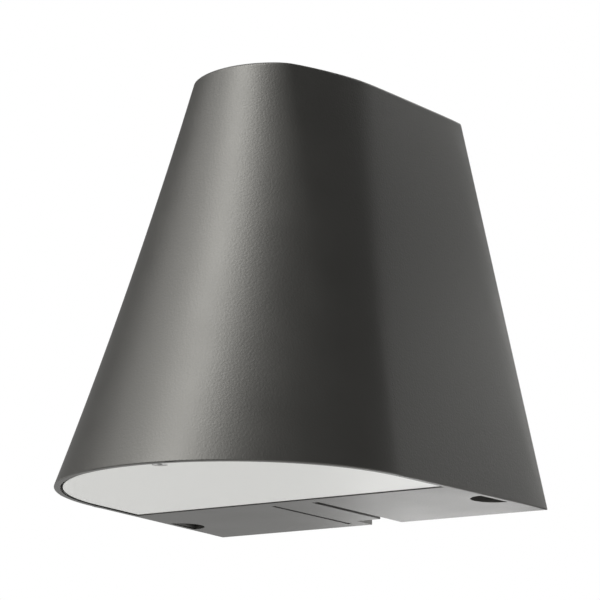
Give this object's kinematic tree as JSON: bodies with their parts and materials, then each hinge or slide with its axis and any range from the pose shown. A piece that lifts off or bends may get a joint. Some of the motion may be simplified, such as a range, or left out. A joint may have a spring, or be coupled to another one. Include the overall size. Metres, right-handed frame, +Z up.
{
  "type": "outdoor wall light",
  "caption": "Downward-lighting D-shaped cone wall light in dark cast metal with a frosted diffuser below, hung on a wall bracket and clamped from beneath.",
  "frame": {"origin": "centre of the wall-screw pattern, on the wall", "axes": "+Y into the wall, -Y out of the wall towards the front of the light, +Z up, +X to the right as seen from the front"},
  "size_m": [0.1724, 0.1813, 0.18],
  "materials": {
    "housing": "fine-textured satin powder coat",
    "diffuser": "frosted opal",
    "gasket": "matt",
    "screw": "zinc plated",
    "white_metal": "white coated",
    "board": "white solder mask",
    "chip": "phosphor",
    "thermal_pad": "matt",
    "tray": "mill finish",
    "driver": "moulded",
    "terminal": "moulded",
    "brass": "plain",
    "wire_blue": "satin",
    "wire_red": "satin",
    "bracket": "zinc plated sheet",
    "foam": "closed-cell foam",
    "grommet": "matt"
  },
  "bodies": {
    "bracket": {"wall_bracket": "bracket", "hanging_hooks": "bracket", "clamp_arms": "bracket", "wall_pad": "foam", "cable_grommet": "grommet", "earth_screw": "brass", "earth_washer": "screw"},
    "head": {"housing": "housing", "diffuser": "diffuser", "diffuser_gasket": "gasket", "diffuser_screw": "screw", "reflector": "white_metal", "led_board": "board", "led_chips": "chip", "thermal_pad": "thermal_pad", "board_screws": "screw", "gear_tray": "tray", "tray_screws": "screw", "driver_base": "driver", "driver_cover": "driver", "driver_screws": "screw", "terminal_block": "terminal", "clamp_screws": "brass", "terminal_screws": "screw", "input_leads": "wire_blue", "output_leads": "wire_red"},
    "left_screw": {"fixing_screw_left": "screw"},
    "right_screw": {"fixing_screw_right": "screw"}
  },
  "joints": [
    {"name": "head_swing", "type": "hinge", "parent": "bracket", "child": "head", "pos_m": [0, -0.04, 0.0765], "axis": [-1, 0, 0], "range_deg": [0, 20]},
    {"name": "left_screw_turn", "type": "hinge", "parent": "head", "child": "left_screw", "pos_m": [-0.07312, -0.038, -0.09], "axis": [0, 0, 1], "continuous": true},
    {"name": "right_screw_turn", "type": "hinge", "parent": "head", "child": "right_screw", "pos_m": [0.07312, -0.038, -0.09], "axis": [0, 0, 1], "continuous": true}
  ]
}
